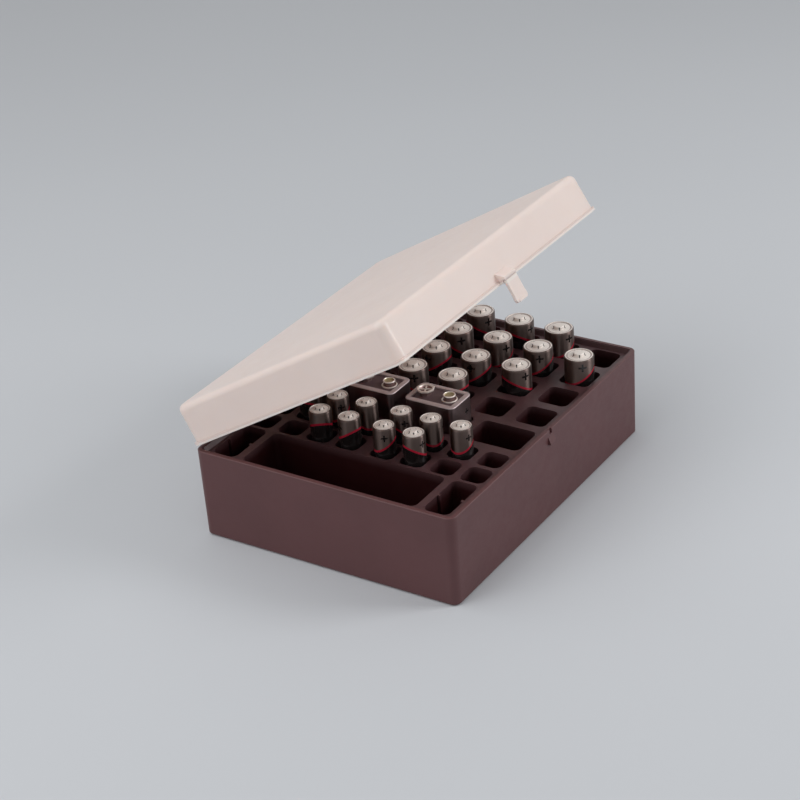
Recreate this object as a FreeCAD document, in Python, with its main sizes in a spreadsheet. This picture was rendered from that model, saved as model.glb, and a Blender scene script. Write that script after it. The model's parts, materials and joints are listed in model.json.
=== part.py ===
import FreeCAD, Part

# Hinged battery box. A dark moulded case holds a tray of deep pockets, a milky lid turns on
# two pinned hinges at the back, a tongue at the front snaps under a catch, and round and
# block cells stand in the pockets.
#
# Millimetres, +Z up. X runs along the case, the latch faces -Y and the hinges are at +Y.
# The origin is the middle of the underside of the case. The lid stands half open.

import os

import Sketcher

Vector = FreeCAD.Vector

# The driving dimensions: name, value, meaning.
SIZES = [
    # the case
    ("case_length", 172.0, "case and lid rim along X"),
    ("case_width", 137.0, "case and lid rim along Y"),
    ("case_height", 45.0, "underside to rim"),
    ("case_wall", 2.0, "thickness of the outer walls"),
    ("case_floor", 2.0, "thickness of the floor"),
    ("case_corner", 4.0, "outer corner radius at the rim"),
    ("case_draft", 0.5, "draft of the walls, degrees"),
    ("foot_edge", 1.0, "chamfer of the bottom edge"),
    ("rim_round", 0.5, "rounding of the rim's outer edge"),
    ("rib_gap", 0.3, "tray rib to the nearest pocket wall"),
    ("rib_thickness", 1.6, "thickness of a tray rib"),
    ("long_ribs", 4, "tray ribs on each long wall"),
    ("short_ribs", 3, "tray ribs on each short wall"),
    # the tray
    ("deck_drop", 2.3, "rim down to the deck"),
    ("deck_thickness", 1.8, "thickness of the deck"),
    ("deck_margin", 3.8, "outside of the case to the foot of the tray's lip"),
    ("tray_gap", 0.15, "tray to case wall, all round"),
    ("lip_top", 0.4, "width of the lip's top"),
    ("lip_drop", 0.3, "rim down to the lip's top"),
    ("cup_wall", 1.2, "wall of a pocket"),
    ("cup_floor", 1.2, "floor of a pocket"),
    # where the pockets lie
    ("end_margin", 5.6, "front and back of the case to the pockets"),
    ("side_margin", 4.9, "right side of the case to the AA pockets"),
    ("bin_margin", 5.3, "left side of the case to the bin"),
    ("nine_gap", 4.9, "AA pockets to 9 V pockets"),
    ("aaa_gap", 5.0, "9 V pockets to AAA pockets"),
    ("bin_gap", 1.5, "AAA pockets to the bin"),
    ("pair_gap", 3.8, "bin to the double pockets at its ends"),
    # AA cells and pockets
    ("aa_diameter", 14.3, "AA cell"),
    ("aa_length", 50.5, "AA cell with its nub"),
    ("aa_pocket", 15.7, "square AA pocket"),
    ("aa_corner", 3.0, "corner radius of the AA pocket"),
    ("aa_stand", 13.5, "AA nub above the deck"),
    ("aa_pitch", 20.8, "AA rows along X"),
    ("aa_rows", 4, "AA rows along X"),
    ("aa_columns", 6, "AA pockets in a row"),
    # AAA cells and pockets
    ("aaa_diameter", 10.4, "AAA cell"),
    ("aaa_length", 44.5, "AAA cell with its nub"),
    ("aaa_pocket", 12.2, "square AAA pocket"),
    ("aaa_corner", 3.2, "corner radius of the AAA pocket"),
    ("aaa_stand", 15.0, "AAA nub above the deck"),
    ("aaa_pitch", 15.8, "AAA pockets along Y"),
    ("aaa_web", 2.3, "wall between the two AAA rows"),
    ("aaa_half", 4, "AAA pockets in half a row"),
    ("pair_width", 12.9, "double AAA pocket along Y"),
    ("pair_rib", 1.2, "rib that parts the two cells of a double pocket"),
    # 9 V cells and pockets
    ("nine_depth", 17.5, "9 V block along X"),
    ("nine_width", 26.5, "9 V block along Y"),
    ("nine_height", 46.4, "9 V block without its studs"),
    ("nine_pocket_x", 18.7, "9 V pocket along X"),
    ("nine_pocket_y", 28.0, "9 V pocket along Y"),
    ("nine_corner", 3.0, "corner radius of the 9 V pocket"),
    ("nine_stand", 13.1, "top of the 9 V block above the deck"),
    ("nine_count", 4, "9 V pockets"),
    # cell details
    ("aa_nub", 5.4, "diameter of the AA nub"),
    ("aa_nub_height", 1.4, "height of the AA nub"),
    ("aaa_nub", 3.8, "diameter of the AAA nub"),
    ("aaa_nub_height", 1.0, "height of the AAA nub"),
    ("block_round", 2.2, "vertical edges of the 9 V block"),
    ("stud_spacing", 12.7, "between the two 9 V studs"),
    ("stud_radius", 2.9, "small round stud"),
    ("stud_height", 2.1, "small round stud"),
    ("socket_radius", 4.3, "large eight-sided stud, over its corners"),
    ("socket_height", 2.5, "large eight-sided stud"),
    # the lid
    ("lid_height", 20.1, "rim plane to the top of the lid"),
    ("lid_wall", 1.6, "thickness of the lid"),
    ("lid_seat", 0.2, "gap between the closed lid and the rim"),
    ("lid_inset", 0.5, "rim bead stands out from the lid wall by this"),
    ("bead_height", 1.6, "height of the lid's rim bead"),
    ("lid_lean", 0.5, "how far each lid wall leans in"),
    ("lid_corner", 5.0, "corner radius of the lid's walls at the rim"),
    ("lid_round", 3.0, "rounding of the lid's top edge"),
    ("lid_open_angle", 30.5, "how far the lid stands open, degrees"),
    # the hinges
    ("hinge_spacing", 88.0, "between the middles of the two hinges"),
    ("hinge_web", 0.6, "back wall left behind a knuckle"),
    ("knuckle_width", 17.7, "lid knuckle along X"),
    ("knuckle_radius", 2.6, "lid knuckle"),
    ("knuckle_gap", 0.3, "knuckle to ears and to the case wall"),
    ("web_height", 6.5, "how far the knuckle's web climbs the lid wall"),
    ("ear_thickness", 2.0, "case ear along X"),
    ("ear_radius", 2.1, "boss of a case ear"),
    ("ear_drop", 9.0, "rim down to the foot of an ear"),
    ("pin_radius", 1.0, "hinge pin"),
    ("pin_fit", 0.03, "radial gap of the pin in the ears"),
    ("pin_running", 0.08, "radial gap of the pin in the knuckle"),
    # the latch
    ("lug_width", 5.0, "catch lug along X"),
    ("lug_top", 3.0, "rim down to the top of the lug"),
    ("lug_crest", 6.3, "rim down to the lug's crest"),
    ("lug_bottom", 7.0, "rim down to the lug's catching face"),
    ("lug_depth", 1.3, "how far the lug stands out"),
    ("slot_width", 2.0, "slot in the rim above the lug"),
    ("slot_height", 2.2, "slot in the rim above the lug"),
    ("slot_depth", 1.0, "slot in the rim above the lug"),
    ("lug_clear", 0.25, "lug to the bead of the unbent tongue as it passes"),
    ("tongue_thickness", 1.4, "tongue"),
    ("tongue_neck", 8.8, "width of the tongue's neck"),
    ("tongue_tip", 9.4, "width of the tongue's tip"),
    ("tongue_drop", 10.4, "rim down to the end of the tongue"),
    ("tongue_lip", 0.5, "finger lip at the end of the tongue"),
    ("tip_round", 1.6, "corners of the tongue's tip"),
    ("flex_rise", 0.9, "rim plane up to the tongue's flex line"),
    ("flex_gap", 0.2, "tongue to its root along the flex line"),
    ("hook_depth", 0.55, "bead behind the tongue"),
    ("hook_width", 6.0, "bead behind the tongue"),
    ("hook_gap", 0.35, "bead below the lug when the lid is shut"),
    ("root_width", 9.6, "block that carries the tongue"),
    ("root_height", 6.0, "block that carries the tongue"),
]

# Places worked out from the driving dimensions, each from those above it.
LAYOUT = [
    ("rim_y", "Sizes.case_width / 2"),
    ("deck_z", "Sizes.case_height - Sizes.deck_drop"),
    # pockets, middle of each
    ("aa_last_x", "Sizes.case_length / 2 - Sizes.side_margin - Sizes.aa_pocket / 2"),
    ("aa_first_x", "aa_last_x - (Sizes.aa_rows - 1) * Sizes.aa_pitch"),
    ("aa_last_y", "rim_y - Sizes.end_margin - Sizes.aa_pocket / 2"),
    ("aa_step_y", "2 * aa_last_y / (Sizes.aa_columns - 1)"),
    ("nine_x", "aa_first_x - Sizes.aa_pocket / 2 - Sizes.nine_gap - Sizes.nine_pocket_x / 2"),
    ("nine_last_y", "rim_y - Sizes.end_margin - Sizes.nine_pocket_y / 2"),
    ("nine_step_y", "2 * nine_last_y / (Sizes.nine_count - 1)"),
    ("aaa_step_x", "Sizes.aaa_pocket + Sizes.aaa_web"),
    ("aaa_right_x", "nine_x - Sizes.nine_pocket_x / 2 - Sizes.aaa_gap - Sizes.aaa_pocket / 2"),
    ("aaa_left_x", "aaa_right_x - aaa_step_x"),
    ("aaa_last_y", "rim_y - Sizes.end_margin - Sizes.aaa_pocket / 2"),
    ("aaa_span", "(Sizes.aaa_half - 1) * Sizes.aaa_pitch"),
    ("bin_left_x", "Sizes.bin_margin - Sizes.case_length / 2"),
    ("bin_right_x", "aaa_left_x - Sizes.aaa_pocket / 2 - Sizes.bin_gap"),
    ("bin_x", "(bin_left_x + bin_right_x) / 2"),
    ("bin_width", "bin_right_x - bin_left_x"),
    ("bin_length", "2 * (rim_y - Sizes.end_margin - Sizes.pair_width - Sizes.pair_gap)"),
    ("pair_y", "rim_y - Sizes.end_margin - Sizes.pair_width / 2"),
    # pocket depths below the deck
    ("aa_deep", "Sizes.aa_length - Sizes.aa_stand"),
    ("aaa_deep", "Sizes.aaa_length - Sizes.aaa_stand"),
    ("nine_deep", "Sizes.nine_height - Sizes.nine_stand"),
    ("bin_deep", "deck_z - Sizes.case_floor - Sizes.cup_floor"),
    # how far a rib stands off its wall, clear of the pockets that lie nearest a wall
    ("rib_depth", "min(Sizes.side_margin; Sizes.end_margin; Sizes.bin_margin)"
                  " - Sizes.cup_wall - Sizes.rib_gap - Sizes.case_wall"),
    # the hinge axis, and the lid seen from it
    ("axis_out", "Sizes.knuckle_radius + Sizes.knuckle_gap + Sizes.hinge_web"
                 " - Sizes.case_wall"),
    ("axis_y", "rim_y + axis_out"),
    ("ear_x", "(Sizes.knuckle_width + Sizes.ear_thickness) / 2 + Sizes.knuckle_gap"),
    ("lid_middle_y", "0 - axis_y"),
    ("lid_front_y", "0 - Sizes.case_width - axis_out"),
    ("tongue_out", "Sizes.lug_depth + Sizes.lug_clear + Sizes.hook_depth"
                   " + Sizes.tongue_thickness / 2"),
    ("flex_y", "lid_front_y - tongue_out"),
    ("open_cosine", "cos(Sizes.lid_open_angle * 1deg)"),
    ("open_sine", "sin(Sizes.lid_open_angle * 1deg)"),
]

os.makedirs("parts", exist_ok=True)
doc = FreeCAD.newDocument("BatteryBox")
sizes = doc.addObject("Spreadsheet::Sheet", "Sizes")
for row, (alias, number, meaning) in enumerate(SIZES, start=1):
    sizes.set(f"A{row}", meaning)
    sizes.set(f"B{row}", str(number))
    sizes.setAlias(f"B{row}", alias)
doc.recompute()

layout = doc.addObject("App::VarSet", "Layout")
for name, formula in LAYOUT:
    layout.addProperty("App::PropertyFloat", name, "Places")
    layout.setExpression(name, formula)
doc.recompute()


# ---------------------------------------------------------------- modelling helpers


def new_body(label, x="0", y="0", z="0"):
    """A body whose origin is at the place that three expressions give."""
    body = doc.addObject("PartDesign::Body", label)
    body.Label = label
    for axis, formula in zip("xyz", (x, y, z)):
        body.setExpression(f"Placement.Base.{axis}", formula)
    return body


def tilt_with_lid(body):
    """Turn a body that is drawn for the shut lid to where the open lid stands."""
    body.Placement.Rotation = FreeCAD.Rotation(Vector(1, 0, 0), -1)
    body.setExpression("Placement.Rotation.Angle", "-Sizes.lid_open_angle")


def origin_feature(body, role):
    return next(f for f in body.Origin.OriginFeatures if f.Role == role)


def attach(feature, body, plane, offset):
    """Seat a sketch or primitive on one of its body's planes, moved by three expressions."""
    feature.AttachmentSupport = (origin_feature(body, plane), [""])
    feature.MapMode = "FlatFace"
    for axis, formula in zip("xyz", offset):
        feature.setExpression(f"AttachmentOffset.Base.{axis}", formula)


def new_sketch(body, name, plane="XY_Plane", offset=("0", "0", "0")):
    sketch = body.newObject("Sketcher::SketchObject", name)
    attach(sketch, body, plane, offset)
    return sketch


def bind(sketch, name, constraint, formula):
    """Add a dimension to a sketch and tie it to an expression."""
    index = sketch.addConstraint(constraint)
    sketch.renameConstraint(index, name)
    sketch.setExpression(f"Constraints.{name}", formula)


def add_rounded_rectangle(sketch, width, depth, radius):
    """A rounded rectangle about the sketch's origin; repeated calls nest inside each other."""
    start = sketch.GeometryCount
    half_x = sketch.evalExpression(width) / 2
    half_y = sketch.evalExpression(depth) / 2
    corner = sketch.evalExpression(radius)
    quarter = 1.5707963267948966
    signs = [(1, -1), (1, 1), (-1, 1), (-1, -1)]
    arcs = []
    for turn, (sign_x, sign_y) in enumerate(signs):
        centre = Vector(sign_x * (half_x - corner), sign_y * (half_y - corner), 0)
        circle = Part.Circle(centre, Vector(0, 0, 1), corner)
        arcs.append(Part.ArcOfCircle(circle, (turn - 1) * quarter, turn * quarter))
    for arc in arcs:
        sketch.addGeometry(arc, False)
    for turn in range(4):
        following = arcs[(turn + 1) % 4]
        sketch.addGeometry(Part.LineSegment(arcs[turn].EndPoint, following.StartPoint), False)
    arc_ids = [start + turn for turn in range(4)]
    line_ids = [start + 4 + turn for turn in range(4)]
    for turn in range(4):
        following = arc_ids[(turn + 1) % 4]
        sketch.addConstraint(Sketcher.Constraint("Tangent", arc_ids[turn], 2, line_ids[turn], 1))
        sketch.addConstraint(Sketcher.Constraint("Tangent", line_ids[turn], 2, following, 1))
        upright = "Vertical" if turn % 2 == 0 else "Horizontal"
        sketch.addConstraint(Sketcher.Constraint(upright, line_ids[turn]))
    for other in arc_ids[1:]:
        sketch.addConstraint(Sketcher.Constraint("Equal", arc_ids[0], other))
    sketch.addConstraint(Sketcher.Constraint("Symmetric", arc_ids[0], 3, arc_ids[2], 3, -1, 1))
    right, top, left, bottom = line_ids
    bind(sketch, f"width{start}",
         Sketcher.Constraint("DistanceX", left, 1, right, 1, 2 * half_x), width)
    bind(sketch, f"depth{start}",
         Sketcher.Constraint("DistanceY", bottom, 1, top, 1, 2 * half_y), depth)
    bind(sketch, f"corner{start}", Sketcher.Constraint("Radius", arc_ids[0], corner), radius)


def rounded_sketch(body, name, width, depth, radius, offset=("0", "0", "0")):
    sketch = new_sketch(body, name, "XY_Plane", offset)
    add_rounded_rectangle(sketch, width, depth, radius)
    return sketch


def polygon_sketch(body, name, plane, corners, offset=("0", "0", "0")):
    """A straight-sided profile, each corner placed by a pair of expressions."""
    sketch = new_sketch(body, name, plane, offset)
    points = [Vector(sketch.evalExpression(a), sketch.evalExpression(b), 0) for a, b in corners]
    count = len(points)
    for index in range(count):
        sketch.addGeometry(Part.LineSegment(points[index], points[(index + 1) % count]), False)
    for index in range(count):
        following = (index + 1) % count
        sketch.addConstraint(Sketcher.Constraint("Coincident", index, 2, following, 1))
    for index, (across, up) in enumerate(corners):
        point = points[index]
        bind(sketch, f"across{index}",
             Sketcher.Constraint("DistanceX", -1, 1, index, 1, point.x), across)
        bind(sketch, f"up{index}",
             Sketcher.Constraint("DistanceY", -1, 1, index, 1, point.y), up)
    return sketch


def extrude(body, kind, name, sketch, length, reverse=False, both_ways=False, taper=None):
    feature = body.newObject(f"PartDesign::{kind}", name)
    feature.Profile = sketch
    feature.setExpression("Length", length)
    feature.Reversed = reverse
    if both_ways:
        feature.Midplane = True
    if taper:
        feature.setExpression("TaperAngle", taper)
    body.Tip = feature
    return feature


def pad(body, name, sketch, length, down=False, **how):
    return extrude(body, "Pad", name, sketch, length, reverse=down, **how)


def pocket(body, name, sketch, length, up=False, **how):
    return extrude(body, "Pocket", name, sketch, length, reverse=up, **how)


def grid(body, name, feature, steps):
    """Repeat a feature along X, Y or both: steps maps an axis to (count, pitch, backwards)."""
    pattern = body.newObject("PartDesign::LinearPattern", name)
    pattern.Originals = [feature]
    for suffix, (axis, (count, pitch, backwards)) in zip(("", "2"), steps.items()):
        setattr(pattern, f"Direction{suffix}", (origin_feature(body, f"{axis}_Axis"), [""]))
        setattr(pattern, f"Reversed{suffix}", backwards)
        pattern.setExpression(f"Occurrences{suffix}", count)
        pattern.setExpression(f"Length{suffix}", f"({count} - 1) * ({pitch})")
    body.Tip = pattern
    return pattern


def primitive(body, kind, name, plane, offset, **dimensions):
    """An additive or subtractive primitive whose dimensions are expressions."""
    feature = body.newObject(f"PartDesign::{kind}", name)
    attach(feature, body, plane, offset)
    for dimension, formula in dimensions.items():
        feature.setExpression(dimension, formula)
    body.Tip = feature
    return feature


def cross_cylinder(body, kind, name, radius, length, y, z, middle="0"):
    """A cylinder along X, centred on `middle`, with its axis at y and z."""
    offset = (y, z, f"({middle}) - ({length}) / 2")
    return primitive(body, kind, name, "YZ_Plane", offset, Radius=radius, Height=length)


def dress(body, kind, name, base, chosen, size):
    """Round or chamfer those edges of the last feature that `chosen` picks."""
    doc.recompute()
    names = [f"Edge{i}" for i, edge in enumerate(base.Shape.Edges, start=1) if chosen(edge)]
    feature = body.newObject(f"PartDesign::{kind}", name)
    feature.Base = (base, names)
    feature.setExpression("Radius" if kind == "Fillet" else "Size", size)
    body.Tip = feature
    return feature


def lies_at(height):
    """Picks the edges that lie flat at one height."""
    def chosen(edge):
        box = edge.BoundBox
        return abs(box.ZMin - height) < 1e-4 and abs(box.ZMax - height) < 1e-4
    return chosen


# ---------------------------------------------------------------- case


def case_shell():
    """The open tub: drafted walls, ribs that carry the tray, hinge ears and catch."""
    body = new_body("case_shell")
    shrink = "2 * Sizes.case_height * tan(Sizes.case_draft * 1deg)"
    outside = rounded_sketch(body, "Footprint", f"Sizes.case_length - {shrink}",
                             f"Sizes.case_width - {shrink}", f"Sizes.case_corner - {shrink} / 2")
    block = pad(body, "Block", outside, "Sizes.case_height", taper="Sizes.case_draft")
    trimmed = dress(body, "Chamfer", "FootEdge", block, lies_at(0), "Sizes.foot_edge")
    dress(body, "Fillet", "RimRound", trimmed, lies_at(sizes.case_height), "Sizes.rim_round")
    inside = rounded_sketch(body, "Mouth", "Sizes.case_length - 2 * Sizes.case_wall",
                            "Sizes.case_width - 2 * Sizes.case_wall",
                            "Sizes.case_corner - Sizes.case_wall",
                            ("0", "0", "Sizes.case_height"))
    pocket(body, "Hollow", inside, "Sizes.case_height - Sizes.case_floor",
           taper="-Sizes.case_draft")
    case_ribs(body)
    for side in (-1, 1):
        hinge_seat(body, f"{side} * Sizes.hinge_spacing / 2")
    catch(body)
    return body


def case_ribs(body):
    """Upright ribs inside the walls; the tray's deck stands on their tops."""
    height = "Layout.deck_z - Sizes.deck_thickness - Sizes.case_floor / 2"
    depth = "Layout.rib_depth + Sizes.case_wall / 2"
    for side in (-1, 1):
        inner = "Sizes.case_wall + Layout.rib_depth" if side > 0 else "Sizes.case_wall / 2"
        step = "Sizes.case_length / Sizes.long_ribs"
        rib = primitive(body, "AdditiveBox", "LongWallRib", "XY_Plane",
                        (f"({step} - Sizes.case_length) / 2 - Sizes.rib_thickness / 2",
                         f"{side} * Layout.rim_y - {side} * ({inner})", "Sizes.case_floor / 2"),
                        Length="Sizes.rib_thickness", Width=depth, Height=height)
        grid(body, "LongWallRibs", rib, {"X": ("Sizes.long_ribs", step, False)})
        step = "Sizes.case_width / Sizes.short_ribs"
        rib = primitive(body, "AdditiveBox", "ShortWallRib", "XY_Plane",
                        (f"{side} * Sizes.case_length / 2 - {side} * ({inner})",
                         f"({step} - Sizes.case_width) / 2 - Sizes.rib_thickness / 2",
                         "Sizes.case_floor / 2"),
                        Length=depth, Width="Sizes.rib_thickness", Height=height)
        grid(body, "ShortWallRibs", rib, {"Y": ("Sizes.short_ribs", step, False)})


def hinge_seat(body, middle):
    """Two ears with a pin hole, and the hollow in the wall that the knuckle turns in."""
    room = "Sizes.knuckle_width + 2 * Sizes.knuckle_gap"
    cross_cylinder(body, "SubtractiveCylinder", "KnuckleRelief",
                   "Sizes.knuckle_radius + Sizes.knuckle_gap", room,
                   "Layout.axis_y", "Sizes.case_height", middle)
    buried = "Layout.rim_y - Sizes.case_wall / 3"
    crest = "Layout.axis_y + Sizes.ear_radius"
    for hand in (-1, 1):
        ear_middle = f"{middle} + {hand} * Layout.ear_x"
        web = polygon_sketch(body, "EarProfile", "YZ_Plane",
                             [(buried, "Sizes.case_height - Sizes.ear_drop"),
                              (crest, "Sizes.case_height"), (buried, "Sizes.case_height")],
                             ("0", "0", ear_middle))
        pad(body, "EarWeb", web, "Sizes.ear_thickness", both_ways=True)
        cross_cylinder(body, "AdditiveCylinder", "EarBoss", "Sizes.ear_radius",
                       "Sizes.ear_thickness", "Layout.axis_y", "Sizes.case_height", ear_middle)
    cross_cylinder(body, "SubtractiveCylinder", "PinHole", "Sizes.pin_radius + Sizes.pin_fit",
                   f"{room} + 4 * Sizes.ear_thickness", "Layout.axis_y", "Sizes.case_height",
                   middle)


def catch(body):
    """The wedge that the tongue snaps under, and the small slot in the rim above it."""
    buried = "Sizes.case_wall / 2 - Layout.rim_y"
    face = "0 - Layout.rim_y"
    crest = "0 - Layout.rim_y - Sizes.lug_depth"
    wedge = polygon_sketch(body, "LugProfile", "YZ_Plane",
                           [(buried, "Sizes.case_height - Sizes.lug_top"),
                            (face, "Sizes.case_height - Sizes.lug_top"),
                            (crest, "Sizes.case_height - Sizes.lug_crest"),
                            (crest, "Sizes.case_height - Sizes.lug_bottom"),
                            (buried, "Sizes.case_height - Sizes.lug_bottom")])
    pad(body, "Lug", wedge, "Sizes.lug_width", both_ways=True)
    primitive(body, "SubtractiveBox", "RimSlot", "XY_Plane",
              ("0 - Sizes.slot_width / 2", "0 - Layout.rim_y - Sizes.slot_depth",
               "Sizes.case_height - Sizes.slot_height"),
              Length="Sizes.slot_width", Width="2 * Sizes.slot_depth",
              Height="2 * Sizes.slot_height")


# ---------------------------------------------------------------- tray


def cup(body, name, width, depth, radius, deep, x, y, steps=None):
    """A walled pocket below the deck, square outside and rounded inside, once or on a grid."""
    walls = primitive(body, "AdditiveBox", f"{name}Cup", "XY_Plane",
                      (f"{x} - ({width}) / 2 - Sizes.cup_wall",
                       f"{y} - ({depth}) / 2 - Sizes.cup_wall",
                       f"0 - {deep} - Sizes.cup_floor"),
                      Length=f"{width} + 2 * Sizes.cup_wall",
                      Width=f"{depth} + 2 * Sizes.cup_wall",
                      Height=f"{deep} + Sizes.cup_floor")
    if steps:
        grid(body, f"{name}Cups", walls, steps)
    outline = rounded_sketch(body, f"{name}Outline", width, depth, radius, (x, y, "0"))
    hollow = pocket(body, f"{name}Pocket", outline, deep)
    if steps:
        grid(body, f"{name}Pockets", hollow, steps)


def cell_tray():
    """The deck with its raised lip and every pocket hanging below it."""
    body = new_body("cell_tray", z="Layout.deck_z")
    inset = "2 * (Sizes.case_wall + Sizes.tray_gap)"
    corner = "Sizes.case_corner - Sizes.case_wall - Sizes.tray_gap"
    length = f"Sizes.case_length - {inset}"
    width = f"Sizes.case_width - {inset}"
    rise = "Sizes.deck_drop - Sizes.lip_drop"
    deck = rounded_sketch(body, "DeckOutline", length, width, corner)
    pad(body, "Deck", deck, "Sizes.deck_thickness", down=True)
    lip = rounded_sketch(body, "LipOutline", length, width, corner)
    pad(body, "Lip", lip, rise)
    mouth = rounded_sketch(body, "LipMouth", f"{length} - 2 * Sizes.lip_top",
                           f"{width} - 2 * Sizes.lip_top", f"{corner} - Sizes.lip_top",
                           ("0", "0", rise))
    run = "Sizes.deck_margin - Sizes.case_wall - Sizes.tray_gap - Sizes.lip_top"
    pocket(body, "LipSlope", mouth, rise, taper=f"0deg - atan(({run}) / ({rise}))")

    cup(body, "Bin", "Layout.bin_width", "Layout.bin_length", "Sizes.aa_corner",
        "Layout.bin_deep", "Layout.bin_x", "0")
    for side in (-1, 1):
        cup(body, "Pair", "Layout.bin_width", "Sizes.pair_width", "Sizes.aaa_corner",
            "Layout.aaa_deep", "Layout.bin_x", f"{side} * Layout.pair_y")
        pair_ribs(body, side)
        aaa_pockets(body, side)
    cup(body, "Nine", "Sizes.nine_pocket_x", "Sizes.nine_pocket_y", "Sizes.nine_corner",
        "Layout.nine_deep", "Layout.nine_x", "0 - Layout.nine_last_y",
        {"Y": ("Sizes.nine_count", "Layout.nine_step_y", False)})
    cup(body, "AA", "Sizes.aa_pocket", "Sizes.aa_pocket", "Sizes.aa_corner", "Layout.aa_deep",
        "Layout.aa_first_x", "0 - Layout.aa_last_y",
        {"X": ("Sizes.aa_rows", "Sizes.aa_pitch", False),
         "Y": ("Sizes.aa_columns", "Layout.aa_step_y", False)})
    return body


def pair_ribs(body, side):
    """Two short ribs that face each other across the middle of a double pocket."""
    for hand in (-1, 1):
        reach = "Sizes.pair_rib" if hand > 0 else "0"
        primitive(body, "AdditiveBox", "PairRib", "XY_Plane",
                  ("Layout.bin_x - Sizes.pair_rib / 2",
                   f"{side} * Layout.pair_y + {hand} * Sizes.pair_width / 2 - {reach}",
                   "0 - Layout.aaa_deep"),
                  Length="Sizes.pair_rib", Width="Sizes.pair_rib", Height="Layout.aaa_deep")


def aaa_pockets(body, side):
    """Half of both AAA rows: one walled block, with its pockets sunk from the outer end."""
    across = "2 * Sizes.aaa_pocket + Sizes.aaa_web + 2 * Sizes.cup_wall"
    along = "Layout.aaa_span + Sizes.aaa_pocket + 2 * Sizes.cup_wall"
    primitive(body, "AdditiveBox", "AAABlock", "XY_Plane",
              (f"Layout.aaa_right_x - Layout.aaa_step_x / 2 - ({across}) / 2",
               f"{side} * (Layout.aaa_last_y - Layout.aaa_span / 2) - ({along}) / 2",
               "0 - Layout.aaa_deep - Sizes.cup_floor"),
              Length=across, Width=along, Height="Layout.aaa_deep + Sizes.cup_floor")
    outline = rounded_sketch(body, "AAAOutline", "Sizes.aaa_pocket", "Sizes.aaa_pocket",
                             "Sizes.aaa_corner",
                             ("Layout.aaa_left_x", f"{side} * Layout.aaa_last_y", "0"))
    hollow = pocket(body, "AAAPocket", outline, "Layout.aaa_deep")
    grid(body, "AAAPockets", hollow,
         {"X": ("2", "Layout.aaa_step_x", False),
          "Y": ("Sizes.aaa_half", "Sizes.aaa_pitch", side > 0)})


# ---------------------------------------------------------------- lid


def lid():
    """A shallow cap with a rim bead, two knuckles and the tongue's root, from the hinge axis."""
    body = new_body("lid", y="Layout.axis_y", z="Sizes.case_height")
    tilt_with_lid(body)
    middle = ("0", "Layout.lid_middle_y")
    lid_cap(body, middle)
    lid_bead(body, middle)
    for side in (-1, 1):
        knuckle(body, f"{side} * Sizes.hinge_spacing / 2")
    tongue_root(body)
    return body


def lid_cap(body, middle):
    """Leaning walls under a rounded top, hollowed from the rim by the same lean."""
    height = "Sizes.lid_height - Sizes.lid_seat"
    lean = f"0deg - atan(Sizes.lid_lean / ({height}))"
    outside = lid_outline(body, "CapFoot", middle, "Sizes.lid_inset")
    pad(body, "Cap", outside, height, taper=lean)
    dress(body, "Fillet", "CapRound", body.Tip, lies_at(sizes.lid_height), "Sizes.lid_round")
    inside = lid_outline(body, "CapMouth", middle, "Sizes.lid_inset + Sizes.lid_wall")
    pocket(body, "CapHollow", inside, f"{height} - Sizes.lid_wall", up=True, taper=lean)
    dress(body, "Chamfer", "CapHollowEdge", body.Tip,
          lies_at(sizes.lid_height - sizes.lid_wall),
          "(Sizes.lid_round - Sizes.lid_wall) * (2 - sqrt(2))")


def lid_outline(body, name, middle, inset):
    """The lid's outline at its seat, drawn in from the case's by `inset`."""
    return rounded_sketch(body, name, f"Sizes.case_length - 2 * ({inset})",
                          f"Sizes.case_width - 2 * ({inset})",
                          f"Sizes.lid_corner + Sizes.lid_inset - ({inset})",
                          (*middle, "Sizes.lid_seat"))


def lid_bead(body, middle):
    """A narrow bead round the rim that meets the case's rim flush."""
    ring = new_sketch(body, "BeadOutline", "XY_Plane", (*middle, "Sizes.lid_seat"))
    add_rounded_rectangle(ring, "Sizes.case_length", "Sizes.case_width", "Sizes.case_corner")
    buried = "2 * (Sizes.lid_inset + Sizes.lid_wall / 2)"
    add_rounded_rectangle(ring, f"Sizes.case_length - {buried}",
                          f"Sizes.case_width - {buried}",
                          "Sizes.lid_corner - Sizes.lid_wall / 2")
    pad(body, "Bead", ring, "Sizes.bead_height")


def knuckle(body, middle):
    """A barrel between two case ears, tied to the lid wall by a leaning web."""
    inner = "0 - Layout.axis_out - Sizes.lid_inset - Sizes.lid_wall / 2"
    touch = "Sizes.knuckle_radius * sin(45deg)"
    web = polygon_sketch(body, "WebProfile", "YZ_Plane",
                         [(inner, "Sizes.lid_seat"), ("0", "Sizes.lid_seat"), (touch, touch),
                          (inner, "Sizes.web_height")], ("0", "0", middle))
    pad(body, "Web", web, "Sizes.knuckle_width", both_ways=True)
    cross_cylinder(body, "AdditiveCylinder", "Barrel", "Sizes.knuckle_radius",
                   "Sizes.knuckle_width", "0", "0", middle)
    cross_cylinder(body, "SubtractiveCylinder", "BarrelBore",
                   "Sizes.pin_radius + Sizes.pin_running", "2 * Sizes.knuckle_width",
                   "0", "0", middle)
    for hand in (-1, 1):
        cross_cylinder(body, "SubtractiveCylinder", "EarRelief",
                       "Sizes.ear_radius + Sizes.knuckle_gap",
                       "Sizes.ear_thickness + 2 * Sizes.knuckle_gap", "0", "0",
                       f"{middle} + {hand} * Layout.ear_x")


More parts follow.
